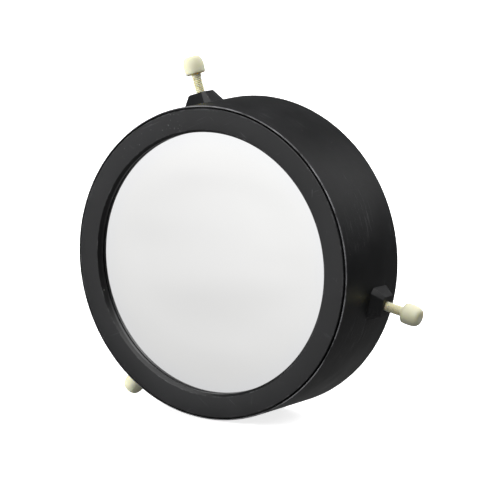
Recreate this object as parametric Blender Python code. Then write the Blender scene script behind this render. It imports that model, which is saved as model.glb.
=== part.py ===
"""Slip-on solar filter cap for a small telescope, held on the tube by three nylon thumb screws.

The optical axis is world Y. The reflective film faces -Y, towards the sun, and the telescope tube
goes in from +Y. The cap stands on its rim and on one thumb screw, with +Z up. The origin is on the
optical axis, in the plane that the end of the tube stops against.
"""

import math

import bmesh
import bpy
from mathutils import Matrix, Vector

MM = 0.001

# ---- Driving dimensions ------------------------------------------------------------------------
GAP = 0.3 * MM                      # clearance kept between pieces that touch
RING_SIDES = 64                     # flats round each large ring
SMALL_SIDES = 12                    # flats round each clamp screw
THUMB_SIDES = 24                    # flats round each thumb screw and its hole

CAP_DEPTH = 40.0 * MM               # front ring's face to open rim
LIP_SETBACK = 0.6 * MM              # the front ring stands this far proud of the barrel's lip
FRONT_RADIUS = 62.3 * MM            # outside, at the lip
REAR_RADIUS = 63.1 * MM             # outside, at the open rim: the mould's draft
BORE_FRONT = 59.8 * MM              # inside, at the flange
BORE_REAR = 60.5 * MM               # inside, at the open rim
LIP_BORE = 61.75 * MM               # the recess that the front ring drops into
FLANGE_BORE = 58.0 * MM             # the flange that the two clamping rings pinch
EDGE = 0.3 * MM                     # small broken edges
RIM_EDGE = 0.6 * MM                 # the rounder edge of the open rim

FRONT_RING_OUTER = 61.2 * MM
APERTURE_RADIUS = 51.9 * MM         # clear opening, at the front ring and the retaining ring
BEVEL_WIDE = 1.0 * MM               # bevel round the front ring's opening, across and deep
BEVEL_DEEP = 1.2 * MM
FILM_RING_BORE = 52.3 * MM          # the hidden rings stand back a little from the opening
FILM_OUTER = FLANGE_BORE - GAP      # the film, its gasket and its rear ring
RETAINING_OUTER = BORE_FRONT - GAP

FRONT_RING_THICK = 2.7 * MM
FILM_THICK = 0.2 * MM
GASKET_THICK = 0.8 * MM
FILM_REAR_RING_THICK = 1.5 * MM
RETAINING_THICK = 2.5 * MM

CLAMP_SCREWS = 6                    # self-tapping screws that pull the two clamping rings together
CLAMP_CIRCLE = 55.0 * MM            # radius of the circle that they stand on
PILLAR = 2.0 * MM                   # radius of the front ring's pillars, which take the screws
CLAMP_SHANK = 1.1 * MM
CLAMP_HEAD = 2.2 * MM
CLAMP_HEAD_DEPTH = 1.3 * MM
CLAMP_LENGTH = 6.5 * MM
CLAMP_SINK = 0.2 * MM               # heads lie this far below the tube stop
PILOT_SKIN = 1.7 * MM               # plastic left in front of each blind pilot hole

THUMB_CLOCKS = {                    # clock angle of each thumb screw, seen from the front
    "upper": math.radians(-17.5),
    "right": math.radians(102.5),
    "lower": math.radians(222.5),
}
THUMB_FROM_FRONT = 26.5 * MM        # their axes, behind the front face
THUMB_SHANK = 1.95 * MM             # M4, as moulded
THUMB_LENGTH = 25.0 * MM            # under the head
THUMB_UNDERSIDE = 75.2 * MM         # radius of the head's flat underside, as set
THUMB_HEAD = 4.15 * MM
THUMB_HEAD_TALL = 7.0 * MM
THUMB_POINT = 0.5 * MM              # chamfer at the tip

BOSS_TOP = 67.3 * MM                # radius of each boss's flat top
BOSS_TOP_HALF = 4.15 * MM           # half its width there
BOSS_SPREAD = math.tan(math.radians(28.0))
BOSS_CORNER = 0.29                  # how much of each half side the cut corner takes
BOSS_FOOT = 61.0 * MM               # where the boss ends, inside the wall

NUT_FLATS = 7.0 * MM                # M4 hexagon nut
NUT_THICK = 3.2 * MM
NUT_INNER_FACE = 60.4 * MM

# ---- Places along the axis, counted from the tube stop at 0 ------------------------------------
STACK = (FRONT_RING_THICK + FILM_THICK + GASKET_THICK + FILM_REAR_RING_THICK + RETAINING_THICK
         + 4 * GAP)
FRONT = -STACK
REAR = FRONT + CAP_DEPTH
FILM_Y = FRONT + FRONT_RING_THICK + GAP
GASKET_Y = FILM_Y + FILM_THICK + GAP
FILM_REAR_RING_Y = GASKET_Y + GASKET_THICK + GAP
RETAINING_Y = FILM_REAR_RING_Y + FILM_REAR_RING_THICK + GAP
THUMB_Y = FRONT + THUMB_FROM_FRONT
INSIDE_WALL = BORE_FRONT - 2 * MM    # a radius safely inside the bore, where cutters start


# ---- Helpers -----------------------------------------------------------------------------------
def clear_scene():
    for thing in list(bpy.data.objects):
        bpy.data.objects.remove(thing, do_unlink=True)


def finish(name, colour, roughness, metallic=0.0):
    """One Principled material, made once and shared by name."""
    made = bpy.data.materials.get(name)
    if made:
        return made
    made = bpy.data.materials.new(name)
    made.use_nodes = True
    shader = made.node_tree.nodes["Principled BSDF"]
    shader.inputs["Base Color"].default_value = (*colour, 1.0)
    shader.inputs["Roughness"].default_value = roughness
    shader.inputs["Metallic"].default_value = metallic
    return made


def new_object(name, bm, material):
    """Close a bmesh off as a smooth-shaded object with sharp edges kept sharp."""
    bmesh.ops.remove_doubles(bm, verts=bm.verts, dist=1e-7)
    bmesh.ops.recalc_face_normals(bm, faces=bm.faces)
    mesh = bpy.data.meshes.new(name)
    bm.to_mesh(mesh)
    bm.free()
    mesh.shade_smooth()
    mesh.set_sharp_from_angle(angle=math.radians(30.0))
    mesh.materials.append(material)
    made = bpy.data.objects.new(name, mesh)
    bpy.context.scene.collection.objects.link(made)
    return made


def turned(profile, axis, start, sides, closed):
    """Turn a profile of (radius, height) points about an axis through the origin."""
    bm = bmesh.new()
    verts = [bm.verts.new(start * radius + axis * height) for radius, height in profile]
    pairs = list(zip(verts, verts[1:]))
    if closed:
        pairs.append((verts[-1], verts[0]))
    edges = [bm.edges.new(pair) for pair in pairs]
    bmesh.ops.spin(bm, geom=verts + edges, cent=(0, 0, 0), axis=axis, angle=2 * math.pi,
                   steps=sides, use_merge=True, use_duplicate=False)
    return bm


def large_turning(name, profile, closed, material):
    """Turn a profile about the optical axis, with one flat facing straight down.

    The corners stand out far enough that the flats touch the true circle.
    """
    half_side = math.pi / RING_SIDES
    start = Vector((math.sin(half_side), 0.0, -math.cos(half_side))) / math.cos(half_side)
    bm = turned(profile, Vector((0.0, 1.0, 0.0)), start, RING_SIDES, closed)
    return new_object(name, bm, material)


def flat_ring(name, bore, outer, front, thick, material):
    """A moulded ring, its four edges broken by a small chamfer."""
    back = front + thick
    profile = [
        (bore, front + EDGE), (bore + EDGE, front), (outer - EDGE, front), (outer, front + EDGE),
        (outer, back - EDGE), (outer - EDGE, back), (bore + EDGE, back), (bore, back - EDGE),
    ]
    return large_turning(name, profile, True, material)


def plain_ring(name, bore, outer, front, thick, material):
    """A ring with square edges, hidden in the stack or cut from sheet."""
    back = front + thick
    profile = [(bore, front), (outer, front), (outer, back), (bore, back)]
    return large_turning(name, profile, True, material)


def film_disc(name, radius, front, thick, material):
    """The film is a whole disc, so its profile starts and ends on the axis."""
    back = front + thick
    profile = [(0.0, front), (radius, front), (radius, back), (0.0, back)]
    return large_turning(name, profile, False, material)


def small_turning(name, profile, sides, material):
    """Turn an open profile, both ends on the axis, about local Z."""
    bm = turned(profile, Vector((0.0, 0.0, 1.0)), Vector((1.0, 0.0, 0.0)), sides, closed=False)
    return new_object(name, bm, material)


def collection(name):
    made = bpy.data.collections.new(name)
    bpy.context.scene.collection.children.link(made)
    return made


def as_guide(thing, group):
    """Make an object a boolean operand: never rendered, drawn as wire, kept in a group."""
    thing.hide_render = True
    thing.display_type = "WIRE"
    bpy.context.scene.collection.objects.unlink(thing)
    group.objects.link(thing)


def boolean(thing, group, operation):
    step = thing.modifiers.new(operation.lower(), "BOOLEAN")
    step.operation = operation
    step.operand_type = "COLLECTION"
    step.collection = group
    step.solver = "EXACT"


def radial_matrix(clock, radius):
    """Local Z points outwards at a clock angle, and local Y stays along the optical axis."""
    outward = Vector((math.sin(clock), 0.0, math.cos(clock)))
    turn = Matrix.Rotation(clock, 4, "Y")
    return Matrix.Translation(outward * radius + Vector((0.0, THUMB_Y, 0.0))) @ turn


# ---- Guides: bosses, nut pockets and screw holes -----------------------------------------------
def cut_corner_square(half):
    """The eight corners of a square with its corners cut off, in order."""
    corner = half * (1.0 - BOSS_CORNER)
    return [(half, -corner), (half, corner), (corner, half), (-corner, half),
            (-half, corner), (-half, -corner), (-corner, -half), (corner, -half)]


def boss_blank(clock):
    """A tapered square boss with cut corners, standing out of the wall."""
    bm = bmesh.new()
    foot_half = BOSS_TOP_HALF + (BOSS_TOP - BOSS_FOOT) * BOSS_SPREAD
    foot = [bm.verts.new((x, y, BOSS_FOOT)) for x, y in cut_corner_square(foot_half)]
    top = [bm.verts.new((x, y, BOSS_TOP)) for x, y in cut_corner_square(BOSS_TOP_HALF)]
    bm.faces.new(foot)
    bm.faces.new(top)
    for here in range(len(foot)):
        there = (here + 1) % len(foot)
        bm.faces.new((foot[here], foot[there], top[there], top[here]))
    made = new_object("boss_blank", bm, black_plastic())
    made.matrix_world = radial_matrix(clock, 0.0)
    return made


def prism_guide(name, radius, low, high, sides, clock):
    """An upright prism between two radii, on the axis of the thumb screw at a clock angle."""
    bm = bmesh.new()
    middle = Matrix.Translation((0.0, 0.0, (low + high) / 2))
    bmesh.ops.create_cone(bm, cap_ends=True, segments=sides, radius1=radius, radius2=radius,
                          depth=high - low, matrix=middle)
    made = new_object(name, bm, black_plastic())
    made.matrix_world = radial_matrix(clock, 0.0)
    return made


def nut_pocket(clock):
    """The hexagon pocket, open to the inside of the cap, that keeps a nut from turning."""
    corner = NUT_FLATS / 2 / math.cos(math.pi / 6) + GAP
    floor = NUT_INNER_FACE + NUT_THICK + GAP
    return prism_guide("nut_pocket", corner, INSIDE_WALL, floor, 6, clock)


def screw_hole(clock):
    """The clearance hole for a thumb screw, through the boss and the wall."""
    beyond = BOSS_TOP + 1 * MM
    return prism_guide("screw_hole", THUMB_SHANK + GAP, INSIDE_WALL, beyond, THUMB_SIDES, clock)


def clamp_places():
    """The centre line of each clamp screw, as a point in the XZ plane."""
    for number in range(CLAMP_SCREWS):
        clock = 2 * math.pi * (number + 0.5) / CLAMP_SCREWS
        yield number + 1, Vector((math.sin(clock), 0.0, math.cos(clock))) * CLAMP_CIRCLE


def lay_along_axis(place):
    """Local Z runs back along the optical axis from the tube stop's plane."""
    return Matrix.Translation(place) @ Matrix.Rotation(math.radians(-90.0), 4, "X")


def clamp_cutter(place):
    """A blind pilot hole in the front ring, through holes behind it, and the countersink."""
    bottom = FRONT + PILOT_SKIN
    hole = CLAMP_SHANK + GAP
    sink = CLAMP_HEAD + GAP
    sink_foot = -CLAMP_SINK - CLAMP_HEAD_DEPTH
    over = 1 * MM
    profile = [(0, bottom), (hole, bottom), (hole, sink_foot), (sink, -CLAMP_SINK), (sink, over),
               (0, over)]
    made = small_turning("clamp_cutter", profile, SMALL_SIDES, black_plastic())
    made.matrix_world = lay_along_axis(place)
    return made


def pillar_cutter(place):
    """The hole that lets a pillar through the film, the gasket and the rear ring."""
    hole = PILLAR + GAP
    low, high = FRONT + FRONT_RING_THICK, RETAINING_Y
    made = small_turning("pillar_cutter", [(0, low), (hole, low), (hole, high), (0, high)],
                         SMALL_SIDES, black_plastic())
    made.matrix_world = lay_along_axis(place)
    return made


# ---- Finishes ----------------------------------------------------------------------------------
def black_plastic():
    return finish("black_abs", (0.028, 0.028, 0.030), 0.55)


def ring_plastic():
    return finish("black_ring_abs", (0.036, 0.037, 0.040), 0.50)


def nylon():
    return finish("natural_nylon", (0.62, 0.61, 0.44), 0.45)


def silvered_film():
    return finish("silvered_film", (0.90, 0.91, 0.93), 0.12, 1.0)


def foam():
    return finish("black_foam", (0.020, 0.020, 0.021), 0.90)


def plated_steel():
    return finish("zinc_plated_steel", (0.62, 0.62, 0.60), 0.35, 1.0)


# ---- Pieces ------------------------------------------------------------------------------------
def make_barrel():
    """The moulded cap: draughted wall, front lip, inner flange and three screw bosses."""
    lip = FRONT + LIP_SETBACK
    flange_back = RETAINING_Y - GAP
    soft = RIM_EDGE * 0.3
    profile = [
        (FRONT_RADIUS - EDGE, lip), (FRONT_RADIUS, lip + EDGE),
        (REAR_RADIUS, REAR - RIM_EDGE), (REAR_RADIUS - soft, REAR - soft),
        (REAR_RADIUS - RIM_EDGE, REAR), (BORE_REAR + EDGE, REAR), (BORE_REAR, REAR - EDGE),
        (BORE_FRONT, flange_back), (FLANGE_BORE, flange_back), (FLANGE_BORE, FILM_Y),
        (LIP_BORE, FILM_Y), (LIP_BORE, lip),
    ]
    barrel = large_turning("barrel", profile, True, black_plastic())
    blanks = collection("boss_blanks")
    pockets = collection("nut_pockets")
    holes = collection("screw_holes")
    for clock in THUMB_CLOCKS.values():
        as_guide(boss_blank(clock), blanks)
        as_guide(nut_pocket(clock), pockets)
        as_guide(screw_hole(clock), holes)
    boolean(barrel, blanks, "UNION")
    boolean(barrel, pockets, "DIFFERENCE")
    boolean(barrel, holes, "DIFFERENCE")


def make_front_ring():
    """The flat ring round the film: bevelled opening, and six pillars on its hidden back."""
    back = FRONT + FRONT_RING_THICK
    outer, bore = FRONT_RING_OUTER, APERTURE_RADIUS
    profile = [
        (bore, FRONT + BEVEL_DEEP), (bore + BEVEL_WIDE, FRONT), (outer - EDGE, FRONT),
        (outer, FRONT + EDGE), (outer, back), (bore, back),
    ]
    ring = large_turning("front_ring", profile, True, ring_plastic())
    pillars = collection("pillars")
    for _, place in clamp_places():
        foot = back - 1 * MM
        top = RETAINING_Y - GAP
        pillar = small_turning("pillar", [(0, foot), (PILLAR, foot), (PILLAR, top), (0, top)],
                               SMALL_SIDES, ring_plastic())
        pillar.matrix_world = lay_along_axis(place)
        as_guide(pillar, pillars)
    boolean(ring, pillars, "UNION")
    return ring


def make_film_cell():
    """The front ring, the film, its gasket and the two rings that clamp them from behind."""
    screw_clearance = collection("screw_clearance")
    pillar_clearance = collection("pillar_clearance")
    for _, place in clamp_places():
        as_guide(clamp_cutter(place), screw_clearance)
        as_guide(pillar_cutter(place), pillar_clearance)
    retaining_ring = flat_ring("retaining_ring", APERTURE_RADIUS, RETAINING_OUTER, RETAINING_Y,
                               RETAINING_THICK, ring_plastic())
    for piece in (make_front_ring(), retaining_ring):
        boolean(piece, screw_clearance, "DIFFERENCE")
    film = film_disc("solar_film", FILM_OUTER, FILM_Y, FILM_THICK, silvered_film())
    gasket = plain_ring("film_gasket", FILM_RING_BORE, FILM_OUTER, GASKET_Y, GASKET_THICK, foam())
    rear_ring = plain_ring("film_rear_ring", FILM_RING_BORE, FILM_OUTER, FILM_REAR_RING_Y,
                           FILM_REAR_RING_THICK, black_plastic())
    for piece in (film, gasket, rear_ring):
        boolean(piece, pillar_clearance, "DIFFERENCE")


def make_clamp_screws():
    """Countersunk self-tapping screws, heads just below the tube stop."""
    head = -CLAMP_SINK
    shoulder = head - CLAMP_HEAD_DEPTH
    tip = head - CLAMP_LENGTH
    taper = 1.2 * MM
    blunt = 0.3 * MM
    profile = [(0.0, tip), (blunt, tip), (CLAMP_SHANK, tip + taper), (CLAMP_SHANK, shoulder),
               (CLAMP_HEAD, head - EDGE / 2), (CLAMP_HEAD, head), (0.0, head)]
    for number, place in clamp_places():
        screw = small_turning(f"clamp_screw_{number}", profile, SMALL_SIDES, plated_steel())
        screw.matrix_world = lay_along_axis(place)


def make_nut(side, clock):
    """A hexagon nut held in the boss: two chamfered faces and a plain bore."""
    corner = NUT_FLATS / 2 / math.cos(math.pi / 6)
    bore = THUMB_SHANK + GAP
    bm = bmesh.new()
    bmesh.ops.create_cone(bm, cap_ends=True, segments=6, radius1=corner, radius2=corner,
                          depth=NUT_THICK)
    nut = new_object(f"{side}_nut", bm, plated_steel())
    nut.matrix_world = radial_matrix(clock, NUT_INNER_FACE + NUT_THICK / 2)
    bm = bmesh.new()
    bmesh.ops.create_cone(bm, cap_ends=True, segments=THUMB_SIDES, radius1=bore, radius2=bore,
                          depth=2 * NUT_THICK)
    drill = new_object(f"{side}_nut_bore", bm, plated_steel())
    drill.matrix_world = nut.matrix_world.copy()
    group = collection(f"{side}_nut_bore")
    as_guide(drill, group)
    boolean(nut, group, "DIFFERENCE")


def thumb_profile():
    """From the tip to the head's flat end, heights counted from the head's underside."""
    profile = [(0.0, -THUMB_LENGTH), (THUMB_SHANK - THUMB_POINT, -THUMB_LENGTH),
               (THUMB_SHANK, -THUMB_LENGTH + THUMB_POINT), (THUMB_SHANK, 0.0)]
    steps = 9
    for step in range(steps + 1):
        along = step / steps
        bulge = THUMB_HEAD - 0.12 * MM * (1 - math.sin(math.pi * min(1.0, along * 1.25)))
        shoulder = 1.05 * MM * max(0.0, along - 0.55) ** 2 / 0.45 ** 2
        profile.append((bulge - shoulder, THUMB_HEAD_TALL * along))
    profile.append((0.0, THUMB_HEAD_TALL))
    return profile


def make_thumb_screw(side, clock):
    """A one-piece nylon screw on an empty that stands on its axis at the boss's flat top."""
    axis = bpy.data.objects.new(f"{side}_screw_axis", None)
    bpy.context.scene.collection.objects.link(axis)
    axis.empty_display_size = 10 * MM
    axis.matrix_world = radial_matrix(clock, BOSS_TOP)
    screw = small_turning(f"{side}_thumb_screw", thumb_profile(), THUMB_SIDES, nylon())
    screw.parent = axis
    screw.location = (0.0, 0.0, THUMB_UNDERSIDE - BOSS_TOP)


def build():
    clear_scene()
    make_barrel()
    make_film_cell()
    make_clamp_screws()
    for side, clock in THUMB_CLOCKS.items():
        make_nut(side, clock)
        make_thumb_screw(side, clock)


build()
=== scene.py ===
# %% [markdown]
# # A slip-on solar filter cap
#
# The real thing is a shallow black cup, moulded in ABS, that goes over the front of a small
# telescope. A disc of silvered film closes its front. Three nylon thumb screws, in bosses round the
# wall, hold it on the tube. This notebook dresses the measured model of the cap: it keeps every
# size and place, and it makes finer pieces, finishes, light and a camera.

# %% Load the measured frame
import math

import bmesh
import bpy
from mathutils import Matrix, Vector


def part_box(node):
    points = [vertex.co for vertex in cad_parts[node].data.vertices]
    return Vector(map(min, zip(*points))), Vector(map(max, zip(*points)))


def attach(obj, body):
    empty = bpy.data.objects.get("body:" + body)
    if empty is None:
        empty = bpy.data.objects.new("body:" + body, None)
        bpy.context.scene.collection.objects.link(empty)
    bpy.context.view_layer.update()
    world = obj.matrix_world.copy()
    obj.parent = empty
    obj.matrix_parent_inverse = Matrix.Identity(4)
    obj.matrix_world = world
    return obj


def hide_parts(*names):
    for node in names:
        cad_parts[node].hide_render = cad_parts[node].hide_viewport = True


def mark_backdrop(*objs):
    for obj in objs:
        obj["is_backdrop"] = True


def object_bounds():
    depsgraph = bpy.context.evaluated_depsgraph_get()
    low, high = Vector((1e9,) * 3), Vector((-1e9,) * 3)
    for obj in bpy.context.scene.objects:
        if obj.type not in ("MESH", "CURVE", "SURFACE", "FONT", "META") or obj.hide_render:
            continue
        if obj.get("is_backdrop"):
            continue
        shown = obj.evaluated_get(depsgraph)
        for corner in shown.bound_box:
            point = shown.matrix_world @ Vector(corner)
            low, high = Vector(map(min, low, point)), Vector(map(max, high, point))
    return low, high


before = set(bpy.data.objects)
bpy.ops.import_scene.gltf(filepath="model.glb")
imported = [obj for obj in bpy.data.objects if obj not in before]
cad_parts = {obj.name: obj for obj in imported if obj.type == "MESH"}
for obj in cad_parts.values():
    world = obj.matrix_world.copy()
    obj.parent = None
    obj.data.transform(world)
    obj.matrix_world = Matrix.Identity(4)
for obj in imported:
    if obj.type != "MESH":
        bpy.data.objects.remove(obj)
MEASURED_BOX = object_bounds()
print("nodes:", len(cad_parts))

# %% [markdown]
# ## Sizes
#
# The optical axis is world Y, the film faces -Y and the tube comes in from +Y. Places along the
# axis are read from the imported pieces, so they follow the model. The radii of the small roundings
# and recesses are the maker's, and they are written once here.

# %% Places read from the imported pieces, and the radii that go with them
MM = 0.001


def span(node, axis):
    """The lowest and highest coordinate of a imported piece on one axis."""
    low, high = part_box(node)
    return low[axis], high[axis]


FRONT = span("front_ring", 1)[0]
FRONT_RING_BACK = FRONT + 2.7 * MM
LIP, RIM = span("barrel", 1)
FILM_FRONT, FILM_BACK = span("solar_film", 1)
GASKET_FRONT, GASKET_BACK = span("film_gasket", 1)
REAR_RING_FRONT, REAR_RING_BACK = span("film_rear_ring", 1)
RETAINING_FRONT, RETAINING_BACK = span("retaining_ring", 1)
FLANGE_BACK = RETAINING_FRONT - 0.3 * MM
THUMB_Y = sum(span("right_thumb_screw", 1)) / 2
FLOOR = MEASURED_BOX[0].z

LIP_RADIUS, WALL_RADIUS, RIM_RADIUS = 62.3 * MM, 62.0 * MM, 63.1 * MM
BORE_AT_FLANGE, BORE_AT_RIM = 59.8 * MM, 60.5 * MM
LIP_BORE, FLANGE_BORE = 61.75 * MM, 58.0 * MM
RING_RADIUS, APERTURE = 61.2 * MM, 51.9 * MM
FILM_RADIUS, HIDDEN_BORE, RETAINING_RADIUS = 57.7 * MM, 52.3 * MM, 59.5 * MM
PILLAR_CIRCLE, PILLAR = 55.0 * MM, 2.0 * MM
BOSS_FOOT, BOSS_TOP, BOSS_HALF = 61.0 * MM, 67.3 * MM, 4.15 * MM
NUT_FACE, NUT_THICK, NUT_FLATS = 60.4 * MM, 3.2 * MM, 7.0 * MM
SCREW_HEAD_UNDER, SCREW_SHANK, SCREW_LONG = 75.2 * MM, 1.95 * MM, 25.0 * MM
HEAD_TALL, THREAD_PITCH, THREAD_DEPTH = 7.0 * MM, 0.7 * MM, 0.40 * MM
PIN_START, TAP_REACH = 57.8 * MM, 2.2 * MM
FIRST_BOSS = math.radians(-17.5)
BOSS_CLOCKS = {"upper": FIRST_BOSS, "right": FIRST_BOSS + math.radians(120.0),
               "lower": FIRST_BOSS + math.radians(240.0)}
print(f"cap {1000 * (RIM - FRONT):.1f} mm deep, thumb screws at y = {1000 * THUMB_Y:.1f} mm")

# %% [markdown]
# ## A small tool for Geometry Nodes
#
# A tree of nodes can be drawn by hand or built in a script. Here a short class builds it: each
# call adds one node, sets it, and links what it is given. The tree's sizes are named inputs, so
# the same tree makes a wide ring and a thin screw. When a tree has run, its result is turned
# into a plain mesh, because instances and live modifiers would not travel with the model.


# %% The tree builder


def enabled(sockets):
    """The sockets that a node shows with its present settings, in order."""
    return [socket for socket in sockets if socket.enabled]


def add_object(name, data):
    """A new object at the origin, in the scene."""
    made = bpy.data.objects.new(name, data)
    bpy.context.scene.collection.objects.link(made)
    return made


class Tree:
    """A Geometry Nodes tree with named inputs, built one node at a time."""

    KINDS = {int: "NodeSocketInt", float: "NodeSocketFloat", tuple: "NodeSocketVector",
             bpy.types.Object: "NodeSocketObject"}

    def __init__(self, name, **sizes):
        self.group = bpy.data.node_groups.new(name, "GeometryNodeTree")
        face = self.group.interface
        face.new_socket("Geometry", in_out="INPUT", socket_type="NodeSocketGeometry")
        face.new_socket("Geometry", in_out="OUTPUT", socket_type="NodeSocketGeometry")
        self.identifiers = {}
        for label, kind in sizes.items():
            made = face.new_socket(label, in_out="INPUT", socket_type=self.KINDS[kind])
            self.identifiers[label] = made.identifier
        self.start = self.group.nodes.new("NodeGroupInput")
        self.end = self.group.nodes.new("NodeGroupOutput")

    def size(self, label):
        return self.start.outputs[label]

    def node(self, kind, *values, out=0, **settings):
        """Add a node, set its properties, then feed its visible inputs in order."""
        made = self.group.nodes.new(kind)
        for label, value in settings.items():
            setattr(made, label, value)
        for socket, value in zip(enabled(made.inputs), values):
            if value is None:
                continue
            for each in value if isinstance(value, list) else [value]:
                if isinstance(each, bpy.types.NodeSocket):
                    self.group.links.new(each, socket)
                else:
                    socket.default_value = each
        return enabled(made.outputs)[out]

    def maths(self, operation, *values):
        return self.node("ShaderNodeMath", *values, operation=operation)

    def finish(self, geometry, material):
        """Every tree ends the same way: instances made real, then one material."""
        real = self.node("GeometryNodeRealizeInstances", geometry)
        painted = self.node("GeometryNodeSetMaterial", real, None, material)
        self.group.links.new(painted, self.end.inputs[0])


def plain_mesh(made):
    """Merge doubles, turn the faces outwards, and keep only real edges sharp."""
    bm = bmesh.new()
    bm.from_mesh(made.data)
    bmesh.ops.remove_doubles(bm, verts=bm.verts, dist=1e-6)
    bmesh.ops.dissolve_degenerate(bm, edges=bm.edges, dist=1e-7)
    bmesh.ops.recalc_face_normals(bm, faces=bm.faces)
    open_edges = sum(1 for edge in bm.edges if not edge.is_manifold)
    bm.to_mesh(made.data)
    bm.free()
    made.data.shade_smooth()
    made.data.set_sharp_from_angle(angle=math.radians(32.0))
    made["open_edges"] = open_edges
    return made


def evaluated(name, host):
    """What an object's modifiers make, as a new object with a plain mesh. The host goes."""
    graph = bpy.context.evaluated_depsgraph_get()
    graph.update()
    mesh = bpy.data.meshes.new_from_object(host.evaluated_get(graph), depsgraph=graph)
    bpy.data.objects.remove(host)
    return add_object(name, mesh)


def grow(tree, name, start, **sizes):
    """Run a tree on a starting mesh and return its result as a plain object at the origin."""
    host = add_object(name + "_host", start)
    step = host.modifiers.new("tree", "NODES")
    step.node_group = tree.group
    for label, value in sizes.items():
        step[tree.identifiers[label]] = value
    return plain_mesh(evaluated(name, host))


def put_away(*things):
    """Remove pieces that were only tools, such as cutters."""
    for thing in things:
        bpy.data.objects.remove(thing)


print("tree builder ready")

# %% [markdown]
# ## Turning on a lathe, and cutting a thread
#
# Almost every piece here is turned: rings, screws, even the film. A lathe is one rule, so it is
# one tree. A flat grid is wrapped round the axis: its columns become angles, and each row takes
# its radius and height from one point of a profile. A thread is the same rule with one more term,
# a wave that climbs one pitch in each turn. A modifier such as Screw could turn the profile, but
# it could not cut the thread in the same piece.

# %% Profiles with rounded corners
ARC_STEPS = 4


def profile_mesh(points, closed):
    """Points are (radius, height, rounding). A rounded corner becomes an arc of short edges."""
    outline = []
    count = len(points)
    for here, (radius, height, rounding) in enumerate(points):
        corner = Vector((radius, height))
        if rounding <= 0.0:
            outline.append(corner)
            continue
        before = (Vector(points[here - 1][:2]) - corner).normalized()
        after = (Vector(points[(here + 1) % count][:2]) - corner).normalized()
        half = before.angle(after) / 2
        reach = rounding / math.tan(half)
        centre = corner + (before + after).normalized() * (rounding / math.sin(half))
        first, last = corner + before * reach - centre, corner + after * reach - centre
        for step in range(ARC_STEPS + 1):
            spoke = first.slerp(last, step / ARC_STEPS).normalized() * rounding
            outline.append(centre + spoke)
    if closed:
        outline.append(outline[0])
    mesh = bpy.data.meshes.new("profile")
    mesh.from_pydata([(point.x, 0.0, point.y) for point in outline], [], [])
    return mesh


print("a profile is a row of points, radius and height")

# %% The lathe tree


def lathe_tree():
    tree = Tree("lathe", sides=int, rows=int, pitch=float, depth=float, thread_low=float,
                thread_high=float, place=tuple, turn=tuple)
    across = tree.maths("ADD", tree.size("sides"), 1.0)
    grid = tree.node("GeometryNodeMeshGrid", 1.0, 1.0, across, tree.size("rows"))
    where = tree.node("GeometryNodeInputPosition")
    column = tree.maths("ADD", tree.node("ShaderNodeSeparateXYZ", where, out=0), 0.5)
    row = tree.maths("ADD", tree.node("ShaderNodeSeparateXYZ", where, out=1), 0.5)
    last_row = tree.maths("SUBTRACT", tree.size("rows"), 1.0)
    number = tree.maths("ROUND", tree.maths("MULTIPLY", row, last_row))
    profile = tree.node("GeometryNodeInputPosition")
    point = tree.node("GeometryNodeSampleIndex", tree.start.outputs["Geometry"], profile, number,
                      data_type="FLOAT_VECTOR", domain="POINT")
    radius = tree.node("ShaderNodeSeparateXYZ", point, out=0)
    height = tree.node("ShaderNodeSeparateXYZ", point, out=2)
    turns = tree.maths("SUBTRACT", tree.maths("DIVIDE", height, tree.size("pitch")), column)
    wave = tree.maths("PINGPONG", turns, 0.5)
    flat_crest, flat_root = 0.06, 0.44
    flank = tree.node("ShaderNodeMapRange", wave, flat_crest, flat_root, 0.0, 1.0)
    low = tree.node("ShaderNodeMapRange", height, tree.size("thread_low"),
                    tree.maths("ADD", tree.size("thread_low"), tree.size("pitch")), 0.0, 1.0)
    high = tree.node("ShaderNodeMapRange", height, tree.size("thread_high"),
                     tree.maths("SUBTRACT", tree.size("thread_high"), tree.size("pitch")),
                     0.0, 1.0)
    cut = tree.maths("MULTIPLY", tree.maths("MULTIPLY", flank, tree.size("depth")),
                     tree.maths("MULTIPLY", low, high))
    reach = tree.maths("MAXIMUM", tree.maths("SUBTRACT", radius, cut), 0.0)
    angle = tree.maths("MULTIPLY", column, 2 * math.pi)
    wrapped = tree.node("ShaderNodeCombineXYZ",
                        tree.maths("MULTIPLY", reach, tree.maths("COSINE", angle)),
                        tree.maths("MULTIPLY", reach, tree.maths("SINE", angle)), height)
    shaped = tree.node("GeometryNodeSetPosition", grid, None, wrapped)
    joined = tree.node("GeometryNodeMergeByDistance", shaped, None, 2e-6)
    placed = tree.node("GeometryNodeTransform", joined, tree.size("place"), tree.size("turn"))
    tree.finish(placed, bare)
    return tree


bare = bpy.data.materials.new("bare")
LATHE = lathe_tree()
ALONG_AXIS = (-math.pi / 2, 0.0, 0.0)
UPRIGHT = (0.0, 0.0, 0.0)


def turn_piece(name, points, sides, closed=False, turn=ALONG_AXIS, place=(0.0, 0.0, 0.0),
               pitch=1.0, depth=0.0, thread=(0.0, 0.0)):
    """Turn a profile about local Z, then lay the piece where it belongs."""
    start = profile_mesh(points, closed)
    rows = len(start.vertices)
    made = grow(LATHE, name, start, sides=sides, rows=rows, pitch=pitch, depth=depth,
                thread_low=thread[0], thread_high=thread[1], place=place, turn=turn)
    print(f"{name}: {len(made.data.polygons)} faces, open edges {made['open_edges']}")
    return made


# %% [markdown]
# ## Copies round the axis
#
# The six clamp screws and the three bosses stand at even angles round the axis. One tree makes
# one instance for each, turned and moved out to its circle. Then the instances are made real.

# %% The tree that repeats a piece round the axis


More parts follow.
